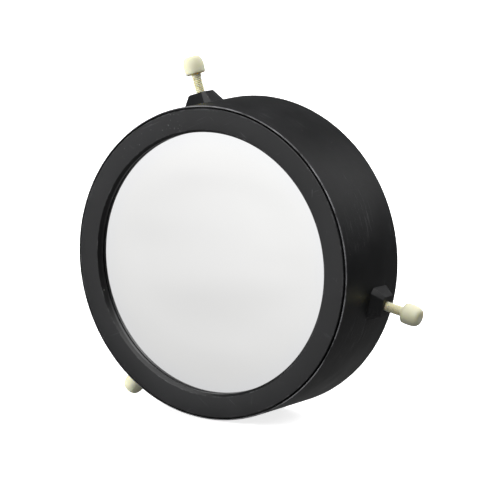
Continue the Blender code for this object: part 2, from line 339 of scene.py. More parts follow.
def round_tree():
    """One piece, made about local Z, repeated round world Y. Lean turns it before it is moved."""
    tree = Tree("round_the_axis", count=int, first=float, radius=float, along=float, lean=tuple)
    spots = tree.node("GeometryNodePoints", tree.size("count"), (0.0, 0.0, 0.0))
    step = tree.maths("DIVIDE", 2 * math.pi, tree.size("count"))
    clock = tree.maths("ADD", tree.maths("MULTIPLY", tree.node("GeometryNodeInputIndex"), step),
                       tree.size("first"))
    outwards = tree.node("ShaderNodeCombineXYZ",
                         tree.maths("MULTIPLY", tree.maths("SINE", clock), tree.size("radius")),
                         tree.size("along"),
                         tree.maths("MULTIPLY", tree.maths("COSINE", clock),
                                    tree.size("radius")))
    moved = tree.node("GeometryNodeSetPosition", spots, None, outwards)
    leaned = tree.node("GeometryNodeTransform", tree.start.outputs["Geometry"],
                       (0.0, 0.0, 0.0), tree.size("lean"))
    facing = tree.node("ShaderNodeCombineXYZ", 0.0, clock, 0.0)
    copies = tree.node("GeometryNodeInstanceOnPoints", moved, None, leaned, None, None, facing)
    tree.finish(copies, bare)
    return tree


ROUND = round_tree()


def repeat(name, piece, count, first, radius, along, lean=UPRIGHT):
    """Copies of a piece at even angles, as one mesh. The single piece is put away."""
    made = grow(ROUND, name, piece.data, count=count, first=first, radius=radius, along=along,
                lean=lean)
    put_away(piece)
    print(f"{name}: {count} copies, {len(made.data.polygons)} faces")
    return made


# %% [markdown]
# ## Moulding and drilling
#
# Bosses are joined to the wall and holes are cut through it, as a mould and its core pins would
# do it. The tree takes a blank, joins what is added, and takes away what is drilled.

# %% The tree that joins and drills


def mould_tree():
    tree = Tree("mould", added=bpy.types.Object, drilled=bpy.types.Object,
                cored=bpy.types.Object)
    added, drilled, cored = (tree.node("GeometryNodeObjectInfo", tree.size(label), out=4)
                             for label in ("added", "drilled", "cored"))
    blank = tree.start.outputs["Geometry"]
    joined = tree.node("GeometryNodeMeshBoolean", [blank, added], operation="UNION",
                       solver="EXACT")
    cut = tree.node("GeometryNodeMeshBoolean", joined, [drilled, cored],
                    operation="DIFFERENCE", solver="EXACT")
    tree.finish(cut, bare)
    return tree


MOULD = mould_tree()


def mould(name, blank, **tools):
    """Join what is added, then cut what is drilled or cored. The tools are put away."""
    made = grow(MOULD, name, blank.data, **tools)
    put_away(blank, *tools.values())
    print(f"{name}: {len(made.data.polygons)} faces, open edges {made['open_edges']}")
    return made


# %% [markdown]
# ## The barrel
#
# The barrel is one moulding: a wall with a little draft, a thin lip round the front ring, an
# inner flange that the film is clamped to, and three tapered bosses with their corners cut off.
# Each boss has a clearance hole, and inside the cap a hexagon pocket that keeps the nut still.

# %% One boss with softened edges


def small_solid(name, bm):
    bmesh.ops.recalc_face_normals(bm, faces=bm.faces)
    mesh = bpy.data.meshes.new(name)
    bm.to_mesh(mesh)
    bm.free()
    return add_object(name, mesh)


def boss_outline(half):
    corner = half * 0.71
    return [(half, -corner), (half, corner), (corner, half), (-corner, half),
            (-half, corner), (-half, -corner), (-corner, -half), (corner, -half)]


def boss_blank():
    bm = bmesh.new()
    foot_half = BOSS_HALF + (BOSS_TOP - BOSS_FOOT) * math.tan(math.radians(28.0))
    foot = [bm.verts.new((x, y, BOSS_FOOT)) for x, y in boss_outline(foot_half)]
    top = [bm.verts.new((x, y, BOSS_TOP)) for x, y in boss_outline(BOSS_HALF)]
    bm.faces.new(foot)
    bm.faces.new(top)
    for here in range(8):
        there = (here + 1) % 8
        bm.faces.new((foot[here], foot[there], top[there], top[here]))
    edges = [edge for edge in bm.edges if max(v.co.z for v in edge.verts) > BOSS_FOOT + MM]
    bmesh.ops.bevel(bm, geom=edges, offset=0.22 * MM, segments=3, affect="EDGES", profile=0.5)
    return small_solid("boss", bm)


bosses = repeat("bosses", boss_blank(), 3, FIRST_BOSS, 0.0, THUMB_Y)

# %% The core pins: a round hole with a broken edge, and a hexagon pocket


def hexagon(name, flats, low, high):
    bm = bmesh.new()
    corner = flats / 2 / math.cos(math.pi / 6)
    bmesh.ops.create_cone(bm, cap_ends=True, segments=6, radius1=corner, radius2=corner,
                          depth=high - low,
                          matrix=Matrix.Translation((0.0, 0.0, (low + high) / 2)))
    return small_solid(name, bm)


HOLE = SCREW_SHANK + 0.3 * MM
hole_pin = turn_piece("hole_pin", [
    (0.0, PIN_START, 0), (HOLE, PIN_START, 0), (HOLE, BOSS_TOP - 0.35 * MM, 0),
    (HOLE + 0.85 * MM, BOSS_TOP + 0.5 * MM, 0), (0.0, BOSS_TOP + 0.5 * MM, 0),
], 64, turn=UPRIGHT)
pocket_pin = hexagon("pocket_pin", NUT_FLATS + 0.5 * MM, PIN_START, NUT_FACE + 3.5 * MM)
holes = repeat("holes", hole_pin, 3, FIRST_BOSS, 0.0, THUMB_Y)
pockets = repeat("pockets", pocket_pin, 3, FIRST_BOSS, 0.0, THUMB_Y)

# %% The wall, turned from one profile, then moulded
wall = turn_piece("wall", [
    (LIP_RADIUS, LIP, 0.28 * MM), (RIM_RADIUS, RIM, 0.6 * MM), (BORE_AT_RIM, RIM, 0.3 * MM),
    (BORE_AT_FLANGE, FLANGE_BACK, 0.0),
    (FLANGE_BORE, FLANGE_BACK, 0.15 * MM), (FLANGE_BORE, FILM_FRONT, 0.0),
    (LIP_BORE, FILM_FRONT, 0.0), (LIP_BORE, LIP, 0.12 * MM),
], 256, closed=True)
barrel = mould("moulded_barrel", wall, added=bosses, drilled=holes, cored=pockets)

# %% [markdown]
# ## The film cell
#
# The front ring, the film, a foam gasket and a hidden ring are pinched together by the retaining
# ring and six screws. The screws bite into six pillars on the back of the front ring.

# %% Pins for the pillars, their clearance and the screw holes
SIXTH = math.pi / 6
CLAMP_ROUND = dict(count=6, first=SIXTH, radius=PILLAR_CIRCLE, along=0.0, lean=ALONG_AXIS)
pillar = turn_piece("pillar", [
    (0.0, FRONT_RING_BACK - MM, 0), (PILLAR, FRONT_RING_BACK - MM, 0),
    (PILLAR, FLANGE_BACK, 0.2 * MM), (0.0, FLANGE_BACK, 0),
], 32, turn=UPRIGHT)
pillars = repeat("pillars", pillar, **CLAMP_ROUND)
SCREW_PIN = [
    (0.0, FRONT + 1.7 * MM, 0), (1.3 * MM, FRONT + 1.7 * MM, 0), (1.3 * MM, -1.5 * MM, 0),
    (2.5 * MM, -0.2 * MM, 0), (2.5 * MM, MM, 0), (0.0, MM, 0),
]
pilot_pins = repeat("pilot_pins", turn_piece("pilot", SCREW_PIN, 32, turn=UPRIGHT), **CLAMP_ROUND)
sink_pins = repeat("sink_pins", turn_piece("sink", SCREW_PIN, 48, turn=UPRIGHT), **CLAMP_ROUND)

# %% The front ring and the retaining ring
ring_blank = turn_piece("ring_blank", [
    (RING_RADIUS, FRONT, 0.3 * MM), (RING_RADIUS, FRONT_RING_BACK, 0.1 * MM),
    (APERTURE, FRONT_RING_BACK, 0.1 * MM), (APERTURE, FRONT + 1.2 * MM, 0.1 * MM),
    (APERTURE + MM, FRONT, 0.12 * MM),
], 256, closed=True)
front_ring = mould("face_ring", ring_blank, added=pillars, drilled=pilot_pins)
retaining_blank = turn_piece("retaining_blank", [
    (RETAINING_RADIUS, RETAINING_FRONT, 0.3 * MM), (RETAINING_RADIUS, RETAINING_BACK, 0.3 * MM),
    (APERTURE, RETAINING_BACK, 0.3 * MM), (APERTURE, RETAINING_FRONT, 0.3 * MM),
], 256, closed=True)
retaining_ring = mould("back_ring", retaining_blank, drilled=sink_pins)

# %% The gasket and the hidden ring, with holes for the pillars


def clearance_pins():
    pin = turn_piece("clearance", [
        (0.0, FRONT_RING_BACK, 0), (PILLAR + 0.3 * MM, FRONT_RING_BACK, 0),
        (PILLAR + 0.3 * MM, RETAINING_FRONT, 0), (0.0, RETAINING_FRONT, 0)], 32, turn=UPRIGHT)
    return repeat("clearances", pin, **CLAMP_ROUND)


def square_ring(name, front, back, soft):
    return turn_piece(name, [
        (FILM_RADIUS, front, soft), (FILM_RADIUS, back, soft), (HIDDEN_BORE, back, soft),
        (HIDDEN_BORE, front, soft)], 192, closed=True)


gasket = mould("foam_gasket", square_ring("gasket_blank", GASKET_FRONT, GASKET_BACK, 0.2 * MM),
               drilled=clearance_pins())
rear_ring = mould("hidden_ring", square_ring("rear_blank", REAR_RING_FRONT, REAR_RING_BACK,
                                             0.15 * MM), drilled=clearance_pins())

# %% [markdown]
# ## The film
#
# The film is a sheet of polymer with metal on both faces. It is never quite flat: the clamp pulls
# it into soft, shallow waves that only its reflections show. The disc is turned like the rings,
# with many rows, and a second tree moves both faces together by less than a tenth of a
# millimetre. Noise with a fixed seed gives the waves, and they die out under the ring.

# %% The tree that ripples the film


def ripple_tree():
    tree = Tree("ripple", height=float, scale=tuple, seed=float, flat_radius=float)
    where = tree.node("GeometryNodeInputPosition")
    spread = tree.node("ShaderNodeVectorMath", where, tree.size("scale"), operation="MULTIPLY")
    waves = tree.node("ShaderNodeTexNoise", spread, tree.size("seed"), 1.0, 1.2, 0.45,
                      noise_dimensions="4D")
    x, z = (tree.node("ShaderNodeSeparateXYZ", where, out=axis) for axis in (0, 2))
    out = tree.maths("SQRT", tree.maths("ADD", tree.maths("MULTIPLY", x, x),
                                        tree.maths("MULTIPLY", z, z)))
    inner = tree.maths("MULTIPLY", tree.size("flat_radius"), 0.55)
    hold = tree.node("ShaderNodeMapRange", out, inner, tree.size("flat_radius"), 1.0, 0.0,
                     interpolation_type="SMOOTHSTEP")
    swing = tree.maths("MULTIPLY", tree.maths("SUBTRACT", waves, 0.5), tree.size("height"))
    push = tree.node("ShaderNodeCombineXYZ", 0.0, tree.maths("MULTIPLY", swing, hold), 0.0)
    moved = tree.node("GeometryNodeSetPosition", tree.start.outputs["Geometry"], None, None,
                      push)
    tree.finish(moved, bare)
    return tree


RIPPLE = ripple_tree()
FILM_ROWS = 56
face = [(FILM_RADIUS * row / FILM_ROWS, FILM_FRONT, 0) for row in range(FILM_ROWS + 1)]
back = [(radius, FILM_BACK, 0) for radius, _, _ in reversed(face)]
flat_film = mould("flat_film", turn_piece("film_blank", face + back, 160),
                  drilled=clearance_pins())
film = grow(RIPPLE, "silver_film", flat_film.data, height=0.42 * MM,
            scale=(9.0, 0.0, 26.0), seed=3.7, flat_radius=PILLAR_CIRCLE - PILLAR)
put_away(flat_film)
heights = [vertex.co.y for vertex in film.data.vertices if vertex.co.y < FILM_FRONT + 0.1 * MM]
print(f"film waves: {1e6 * (max(heights) - min(heights)):.0f} micrometres, "
      f"{len(film.data.polygons)} faces")

# %% [markdown]
# ## Screws and nuts
#
# The clamp screws are small countersunk screws with a cross recess. One is turned and cut, and
# six copies are set round the ring. The nuts are ordinary hexagon nuts with chamfered faces and a
# thread cut with the same rule as the screws.

# %% Six clamp screws as one piece


def cross_recess():
    """A tapered cross, wide at the head and narrow at its bottom."""
    bars = []
    for along, across in ((1.0, 0.0), (0.0, 1.0)):
        bm = bmesh.new()
        for height, wide, thin in ((-1.15, 0.45, 0.16), (0.2, 1.25, 0.30)):
            x = wide if along else thin
            y = wide if across else thin
            for dx, dy in ((-x, -y), (x, -y), (x, y), (-x, y)):
                bm.verts.new((dx * MM, dy * MM, (-0.2 + height) * MM))
        v = list(bm.verts)
        for ring in ((0, 1, 2, 3), (7, 6, 5, 4), (0, 4, 5, 1), (1, 5, 6, 2), (2, 6, 7, 3),
                     (3, 7, 4, 0)):
            bm.faces.new([v[index] for index in ring])
        bars.append(small_solid("bar", bm))
    return bars


clamp_blank = turn_piece("clamp_blank", [
    (0.0, -6.7 * MM, 0), (0.3 * MM, -6.7 * MM, 0), (1.1 * MM, -5.5 * MM, 0),
    (1.1 * MM, -1.5 * MM, 0.05 * MM), (2.2 * MM, -0.34 * MM, 0.06 * MM),
    (2.2 * MM, -0.2 * MM, 0.04 * MM), (0.0, -0.2 * MM, 0)], 48, turn=UPRIGHT)
first_bar, second_bar = cross_recess()
one_clamp_screw = mould("clamp_one", clamp_blank, drilled=first_bar, cored=second_bar)
clamp_screws = repeat("clamp_screws", one_clamp_screw, **CLAMP_ROUND)

# %% Three nuts as one piece


def chamfer_lens():
    """What a hexagon keeps when both its faces are chamfered on the lathe."""
    inside, corner = NUT_FLATS / 2 - 0.1 * MM, NUT_FLATS / 2 / math.cos(math.pi / 6) + 0.1 * MM
    drop = (corner - inside) * math.tan(math.radians(30.0))
    return turn_piece("lens", [
        (0.0, -NUT_THICK / 2, 0), (inside, -NUT_THICK / 2, 0), (corner, drop - NUT_THICK / 2, 0),
        (corner, NUT_THICK / 2 - drop, 0), (inside, NUT_THICK / 2, 0), (0.0, NUT_THICK / 2, 0),
    ], 96, turn=UPRIGHT)


def one_nut():
    lens = chamfer_lens()
    prism = hexagon("prism", NUT_FLATS, -NUT_THICK, NUT_THICK)
    keep = lens.modifiers.new("hexagon", "BOOLEAN")
    keep.operation, keep.object, keep.solver = "INTERSECT", prism, "EXACT"
    blank = evaluated("nut_blank", lens)
    put_away(prism)
    rows = 60
    bore = [(2.3 * MM, (2 * row / rows - 1) * TAP_REACH, 0) for row in range(rows + 1)]
    tap = turn_piece("tap", [(0.0, -TAP_REACH, 0), *bore, (0.0, TAP_REACH, 0)], 48, turn=UPRIGHT,
                     pitch=THREAD_PITCH, depth=0.25 * MM, thread=(-2.4 * MM, 2.4 * MM))
    return mould("nut", blank, drilled=tap)


nuts = repeat("hexagon_nuts", one_nut(), 3, FIRST_BOSS, NUT_FACE + NUT_THICK / 2, THUMB_Y)

# %% [markdown]
# ## The thumb screws
#
# Each one is a single moulding in natural nylon: a plain round head and a full M4 thread with a
# 0.7 mm pitch. Each is a body of its own, because it moves in and out, so each is a mesh of its
# own. The profile has eight rows for every turn of the thread.

# %% The thumb screw's profile
ROWS_PER_TURN, HEAD_ROWS = 8, 16


def thumb_profile():
    rows = ROWS_PER_TURN * round(SCREW_LONG / THREAD_PITCH)
    tip, point = -SCREW_LONG, 0.5 * MM
    shank = [(0.0, tip, 0), (SCREW_SHANK - point, tip, 0)]
    for row in range(1, rows + 1):
        height = tip + SCREW_LONG * row / rows
        shank.append((min(SCREW_SHANK, SCREW_SHANK - point + height - tip), height, 0))
    head = [(3.72 * MM, 0.0, 0), (3.86 * MM, 0.08 * MM, 0), (3.96 * MM, 0.28 * MM, 0),
            (4.04 * MM, 0.8 * MM, 0), (4.11 * MM, 1.6 * MM, 0), (4.15 * MM, 2.5 * MM, 0)]
    for row in range(1, HEAD_ROWS + 1):
        turn = row / HEAD_ROWS * math.pi / 2
        head.append(((1.60 + 2.55 * math.cos(turn) ** 0.64) * MM,
                     (2.9 + 4.1 * math.sin(turn) ** 0.93) * MM, 0))
    return shank + head + [(0.8 * MM, HEAD_TALL, 0), (0.0, HEAD_TALL, 0)]


thumb_screws = {}
for side, clock in BOSS_CLOCKS.items():
    outward = Vector((math.sin(clock), 0.0, math.cos(clock)))
    seat = outward * SCREW_HEAD_UNDER + Vector((0.0, THUMB_Y, 0.0))
    thumb_screws[side] = turn_piece(
        f"{side}_nylon_screw", thumb_profile(), 48, turn=(0.0, clock, 0.0), place=tuple(seat),
        pitch=THREAD_PITCH, depth=THREAD_DEPTH, thread=(-SCREW_LONG - THREAD_PITCH, -1.0 * MM))

# %% [markdown]
# ## Shader maths in plain Python
#
# A finish is arithmetic on the surface's own position. A small class wraps a socket, so that
# `1 - mask * 0.5` adds the Math nodes by itself. Colours are mixed with Mix nodes, because a Math
# node would turn them grey.


# %% The socket wrapper and the finish builder
class Field:
    """A value that changes over a surface. Sums and products of fields add Math nodes."""

    def __init__(self, owner, socket):
        self.owner, self.socket = owner, socket

    def maths(self, operation, *others):
        return self.owner.node("ShaderNodeMath", self, *others, operation=operation)

    def __add__(self, other):
        return self.maths("ADD", other)

    def __sub__(self, other):
        return self.maths("SUBTRACT", other)

    def __mul__(self, other):
        return self.maths("MULTIPLY", other)

    def __rsub__(self, other):
        return self.owner.node("ShaderNodeMath", other, self, operation="SUBTRACT")

    __radd__, __rmul__ = __add__, __mul__

    def step(self, low, high):
        """0 below low, 1 above high, and a smooth ramp between. Low may be above high."""
        return self.owner.node("ShaderNodeMapRange", self, low, high, 0.0, 1.0,
                               interpolation_type="SMOOTHSTEP")


class Finish:
    """A material built from its Object coordinates."""

    def __init__(self, name, **constants):
        self.material = bpy.data.materials.new(name)
        self.material.use_nodes = True
        self.tree = self.material.node_tree
        self.shader = self.tree.nodes["Principled BSDF"]
        for label, value in constants.items():
            self.shader.inputs[label.replace("_", " ").title().replace("Ior", "IOR")] \
                .default_value = value
        self.place = self.node("ShaderNodeTexCoord", out=3)
        self.x, self.y, self.z = (self.node("ShaderNodeSeparateXYZ", self.place, out=axis)
                                  for axis in range(3))
        self.radius = self.node("ShaderNodeVectorMath", self.node(
            "ShaderNodeCombineXYZ", self.x, 0.0, self.z), operation="LENGTH")

    def node(self, kind, *values, out=0, **settings):
        """Add a node: settings first, then a value or a link for each visible input."""
        made = self.tree.nodes.new(kind)
        for label, value in settings.items():
            setattr(made, label, value)
        for socket, value in zip(enabled(made.inputs), values):
            if value is None:
                continue
            if isinstance(value, Field):
                self.tree.links.new(value.socket, socket)
            elif socket.type == "RGBA":
                socket.default_value = (*value, 1.0)
            else:
                socket.default_value = value
        return Field(self, enabled(made.outputs)[out])

    def noise(self, scale, detail=2.0, rough=0.5, stretch=(1.0, 1.0, 1.0), at=None):
        """Smooth noise about 0 to 1, with features a little over 1 / scale metres wide."""
        spread = self.node("ShaderNodeVectorMath", at or self.place,
                           tuple(scale * part for part in stretch), operation="MULTIPLY")
        return self.node("ShaderNodeTexNoise", spread, 1.0, detail, rough)

    def wrapped(self):
        """Coordinates that follow the wall: round it, along it and out of it, in metres."""
        turn = self.x.maths("ARCTAN2", self.z)
        return self.node("ShaderNodeCombineXYZ", turn * WALL_RADIUS, self.y, self.radius)

    def specks(self, scale, size, share, at=None):
        """A few small dots: 1 inside a dot. Share is how many of the cells hold one."""
        spread = self.node("ShaderNodeVectorMath", at or self.place, (scale,) * 3,
                           operation="MULTIPLY")
        near = self.node("ShaderNodeTexVoronoi", spread, 1.0, 0.0, 0.5, 2.0, out=0)
        chosen = self.node("ShaderNodeTexVoronoi", spread, 1.0, 0.0, 0.5, 2.0, out=1)
        lot = self.node("ShaderNodeSeparateColor", chosen, out=0)
        return near.step(size, size * 0.6) * lot.step(1 - share + 0.002, 1 - share + 0.004)

    def mix(self, share, low, high):
        """A colour between two colours."""
        return self.node("ShaderNodeMix", share, low, high, data_type="RGBA")

    def bump(self, height, distance):
        """A Bump node: height 0 to 1 stands for a real distance in metres."""
        return self.node("ShaderNodeBump", 1.0, distance, 1.0, height)

    def set(self, label, value):
        self.tree.links.new(value.socket, self.shader.inputs[label])


print("finish builder ready")

# %% [markdown]
# ## Black moulded plastic
#
# The barrel is satin ABS with a fine spark-eroded grain. It is not one black: the tone drifts a
# little, handling has scuffed the wall, and the lip and the rim are rubbed paler. On the lip this
# paler colour is also a painted highlight. The scuffs run round the wall, so their noise is read on
# coordinates that are wrapped round it.

# %% The barrel's finish


def barrel_finish():
    made = Finish("satin_black_abs", specular_ior_level=0.36)
    wrapped = made.wrapped()
    drift = made.noise(38.0, 3.0, 0.55)
    cloud = made.noise(160.0, 4.0, 0.6)
    grain = made.noise(2600.0, 2.0, 0.6)
    streaks = made.noise(700.0, 3.0, 0.70, stretch=(0.16, 1.0, 0.2), at=wrapped)
    speckle = made.noise(1500.0, 3.0, 0.75)
    handled = made.noise(34.0, 2.0, 0.5, stretch=(1.0, 1.3, 1.0)).step(0.46, 0.64)
    scuff = (streaks.step(0.54, 0.68) + speckle.step(0.56, 0.70) * 0.8) * handled
    lip = made.radius.step(61.8 * MM, 62.0 * MM) * made.y.step(LIP + 0.45 * MM, LIP + 0.1 * MM)
    rim = made.radius.step(62.7 * MM, 63.0 * MM) * made.y.step(RIM - 0.7 * MM, RIM - 0.3 * MM)
    # The lip is painted paler: partly rubbed wear, partly a painted highlight. The rim's paler rub
    # is wear.
    rubbed_wear_and_highlight = (lip + rim) * cloud.step(0.25, 0.7)
    dust = made.specks(420.0, 0.11, 0.05)
    tone = made.mix(drift.step(0.3, 0.7) * 0.6 + cloud * 0.4, (0.0045, 0.0047, 0.0052),
                    (0.0135, 0.0139, 0.0148))
    tone = made.mix(scuff * 0.42, tone, (0.060, 0.061, 0.063))
    tone = made.mix(rubbed_wear_and_highlight * 0.8, tone, (0.26, 0.26, 0.27))
    tone = made.mix(dust * 0.55, tone, (0.16, 0.155, 0.14))
    made.set("Base Color", tone)
    made.set("Roughness", 0.39 + (drift - 0.5) * 0.26 + (cloud - 0.5) * 0.16 - scuff * 0.06
             - rubbed_wear_and_highlight * 0.12)
    made.set("Normal", made.bump(grain * 0.6 + scuff * 0.6 + cloud * 0.4, 0.045 * MM))
    return made.material


BARREL_FINISH = barrel_finish()
print("finish:", BARREL_FINISH.name)

# %% [markdown]
# ## The two rings
#
# The rings come from another tool and are a little smoother and greyer. The front one lies face
# down whenever the cap is put away, so it has hairline scratches in all directions and a few
# grains of dust.

# %% The rings' finish


def ring_finish():
    made = Finish("smooth_black_abs", specular_ior_level=0.50)
    drift = made.noise(30.0, 3.0, 0.55)
    cloud = made.noise(210.0, 4.0, 0.6)
    grain = made.noise(3200.0, 2.0, 0.55)
    hairs = None
    for turn, scale in ((0.4, 2300.0), (1.5, 1700.0), (2.5, 2000.0)):
        laid = made.node("ShaderNodeVectorRotate", made.place, (0.0, 0.0, 0.0), (0.0, 1.0, 0.0),
                         turn, rotation_type="AXIS_ANGLE")
        line = made.noise(scale, 2.0, 0.5, stretch=(0.02, 0.3, 1.0), at=laid).step(0.68, 0.74)
        where = made.noise(70.0, 1.0, 0.5, stretch=(1.0, 1.0, 1.0 + turn)).step(0.52, 0.66)
        hair = line * where
        hairs = hair if hairs is None else hairs.maths("MAXIMUM", hair)
    dust = made.specks(300.0, 0.10, 0.05)
    rough_spot = made.noise(55.0, 1.0, 0.5).step(0.54, 0.66) * made.z.step(20.0 * MM, 50.0 * MM)
    nicks = made.specks(1100.0, 0.26, 0.30) * rough_spot
    tone = made.mix(drift.step(0.3, 0.7) * 0.6 + cloud * 0.4, (0.0050, 0.0051, 0.0056),
                    (0.0135, 0.0137, 0.0148))
    edge = made.radius.step(60.4 * MM, 61.1 * MM) + made.radius.step(53.3 * MM, 52.9 * MM)
    worn = edge * made.y.step(FRONT + 0.30 * MM, FRONT + 0.10 * MM) \
        * made.noise(260.0, 3.0, 0.7).step(0.48, 0.70)
    # Painted shade: inside 53 mm, the aperture's bevel is painted near black.
    tone = made.mix(made.radius.step(53.0 * MM, 52.7 * MM) * 0.75, tone, (0.0015, 0.0015, 0.0017))
    tone = made.mix(hairs * 0.6, tone, (0.075, 0.076, 0.080))
    tone = made.mix(worn * 0.55, tone, (0.075, 0.076, 0.079))
    tone = made.mix(nicks * 0.6, tone, (0.14, 0.14, 0.145))
    tone = made.mix(dust * 0.7, tone, (0.30, 0.29, 0.26))
    made.set("Base Color", tone)
    made.set("Roughness", 0.37 + (drift - 0.5) * 0.24 + (cloud - 0.5) * 0.14 + hairs * 0.12)
    made.set("Normal", made.bump(grain * 0.6 - hairs * 0.4 + cloud * 0.3, 0.020 * MM))
    return made.material


RING_FINISH = ring_finish()
print("finish:", RING_FINISH.name)

# %% [markdown]
# ## Silvered film
#
# The film is a mirror that lets almost nothing through. Its metal is a shade off white, a little
# cooler where it thins towards the edge. Handling leaves soft bands that are slightly duller. The
# slow waves are in the mesh; the bump adds only the faint orange peel of the coating.

# %% The film's finish


def film_finish():
    made = Finish("silvered_polymer", metallic=1.0)
    slow = made.noise(14.0, 2.0, 0.5, stretch=(0.45, 1.0, 1.6))
    haze = made.noise(60.0, 3.0, 0.55)
    peel = made.noise(330.0, 2.0, 0.5)
    edge = made.radius.step(43.0 * MM, 53.0 * MM)
    pits = made.specks(520.0, 0.07, 0.03)
    tone = made.mix(slow, (0.905, 0.905, 0.900), (0.945, 0.943, 0.935))
    tone = made.mix(edge * haze * 0.5, tone, (0.86, 0.88, 0.93))
    tone = made.mix(pits * 0.6, tone, (0.45, 0.46, 0.48))
    made.set("Base Color", tone)
    made.set("Roughness", 0.085 + (haze - 0.5) * 0.05 + slow * 0.04 + pits * 0.2)
    made.set("Normal", made.bump(peel, 0.002 * MM))
    return made.material


FILM_FINISH = film_finish()
print("finish:", FILM_FINISH.name)

# %% [markdown]
# ## Natural nylon
#
# Natural nylon is milky: light goes a few millimetres into it and comes out warmer. Its colour is
# painted darker and yellower on the shank below the head and in the roots of the thread, as
# painted shade.

# %% The thumb screws' finish


def nylon_finish(name, clock):
    made = Finish(name, subsurface_weight=0.65, subsurface_scale=0.0030,
                  subsurface_radius=(1.0, 0.85, 0.5), specular_ior_level=0.45)
    height = made.x * math.sin(clock) + made.z * math.cos(clock)
    across, deep = made.x * math.cos(clock) - made.z * math.sin(clock), made.y - THUMB_Y
    along = made.node("ShaderNodeCombineXYZ", across, deep, height)
    axis = made.node("ShaderNodeVectorMath", made.node(
        "ShaderNodeCombineXYZ", across, deep, 0.0), operation="LENGTH")
    milk = made.noise(190.0, 3.0, 0.55)
    fine = made.noise(1500.0, 2.0, 0.5)
    drawn = made.noise(1300.0, 2.0, 0.5, stretch=(1.0, 1.0, 0.12), at=along)
    # Painted shade: the shank below the head and the thread roots are painted darker and yellower.
    shaded_below_head = height.step(SCREW_HEAD_UNDER + 1.6 * MM, SCREW_HEAD_UNDER - 0.1 * MM)
    shaded_thread_roots = axis.step(SCREW_SHANK - 0.08 * MM, SCREW_SHANK - 0.38 * MM) \
        * height.step(SCREW_HEAD_UNDER, SCREW_HEAD_UNDER - 0.3 * MM)
    grime = made.specks(700.0, 0.09, 0.05)
    tone = made.mix(milk, (0.66, 0.655, 0.475), (0.75, 0.745, 0.575))
    tone = made.mix(shaded_below_head * 0.35, tone, (0.62, 0.58, 0.36))
    tone = made.mix(shaded_thread_roots * 0.22, tone, (0.46, 0.42, 0.27))
    tone = made.mix(grime * 0.4, tone, (0.30, 0.27, 0.18))
    made.set("Base Color", tone)
    made.set("Roughness", 0.40 + (milk - 0.5) * 0.16 + (drawn - 0.5) * 0.10 + shaded_thread_roots * 0.1)
    made.set("Normal", made.bump(fine * 0.4 + drawn * 0.5 + milk * 0.4, 0.030 * MM))
    return made.material


NYLON = {side: nylon_finish(f"natural_nylon_{side}", clock)
         for side, clock in BOSS_CLOCKS.items()}
print("finishes:", sorted(NYLON))

# %% [markdown]
# ## Plated steel and foam
#
# The screws and nuts are zinc plated: a cool grey metal with a faint straw tint and small dull
# spots. The gasket is closed-cell foam, matt black, with pores of a few tenths of a millimetre.

# %% The steel's finish and the foam's finish


def steel_finish():
    made = Finish("zinc_plated_steel", metallic=1.0)
    bloom = made.noise(520.0, 3.0, 0.6)
    turned = made.noise(4200.0, 2.0, 0.5, stretch=(1.0, 0.3, 1.0))
    dull = made.specks(1100.0, 0.22, 0.25)
    tone = made.mix(bloom, (0.50, 0.52, 0.54), (0.66, 0.65, 0.60))
    tone = made.mix(dull * 0.5, tone, (0.38, 0.38, 0.37))
    made.set("Base Color", tone)
    made.set("Roughness", 0.30 + (bloom - 0.5) * 0.2 + dull * 0.15)
    made.set("Normal", made.bump(turned * 0.6 + bloom * 0.4, 0.012 * MM))
    return made.material


def foam_finish():
    made = Finish("black_foam", specular_ior_level=0.25)
    spread = made.node("ShaderNodeVectorMath", made.place, (3200.0,) * 3, operation="MULTIPLY")
    cells = made.node("ShaderNodeTexVoronoi", spread, 1.0, 0.0, 0.5, 2.0, out=0)
    soft = made.noise(300.0, 3.0, 0.6)
    tone = made.mix(cells.step(0.1, 0.6) * 0.6 + soft * 0.4, (0.006, 0.006, 0.006),
                    (0.024, 0.024, 0.025))
    made.set("Base Color", tone)
    made.set("Roughness", 0.86 + (soft - 0.5) * 0.12)
    made.set("Normal", made.bump(cells, 0.12 * MM))
    return made.material


STEEL_FINISH, FOAM_FINISH = steel_finish(), foam_finish()
print("finishes:", STEEL_FINISH.name, FOAM_FINISH.name)

# %% [markdown]
# ## Putting the pieces on the frame
#
# Each piece stands for the measured nodes that it replaces and rides on their body. The cap's
# own pieces ride on the cap. Each thumb screw rides on its own body, so it can move in and out.

# %% Dress, replace and ride
PIECES = [
    (barrel, BARREL_FINISH, "cap", "cap_plastic", ["barrel"]),
    (front_ring, RING_FINISH, "cap", "ring_plastic", ["front_ring"]),
    (film, FILM_FINISH, "cap", "film", ["solar_film"]),
    (gasket, FOAM_FINISH, "cap", "foam", ["film_gasket"]),
    (rear_ring, BARREL_FINISH, "cap", "cap_plastic", ["film_rear_ring"]),
    (retaining_ring, RING_FINISH, "cap", "ring_plastic", ["retaining_ring"]),
    (clamp_screws, STEEL_FINISH, "cap", "steel", [f"clamp_screw_{n}" for n in range(1, 7)]),
    (nuts, STEEL_FINISH, "cap", "steel", [f"{side}_nut" for side in BOSS_CLOCKS]),
]
for side in BOSS_CLOCKS:
    PIECES.append((thumb_screws[side], NYLON[side], f"{side}_screw", "nylon",
                   [f"{side}_thumb_screw"]))
for piece, finish, body, slot, nodes in PIECES:
    piece.data.materials.clear()
    piece.data.materials.append(finish)
    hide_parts(*nodes)
    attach(piece, body)
    print(f"{piece.name} rides on {body}")

# %% [markdown]
# ## Floor, light and camera
#
# A plain pale sweep stands under the cap. The light is a big soft source overhead, a paler one
# low in front, and little from behind, as in a small product tent with a dark back. The camera
# only sees the pale floor and dome; the black plastic sees the tent.

# %% The floor and the dome
FLOOR_RADIUS, DOME_RADIUS, UNDER_THE_CAP = 14.0, 13.5, 0.02 * MM


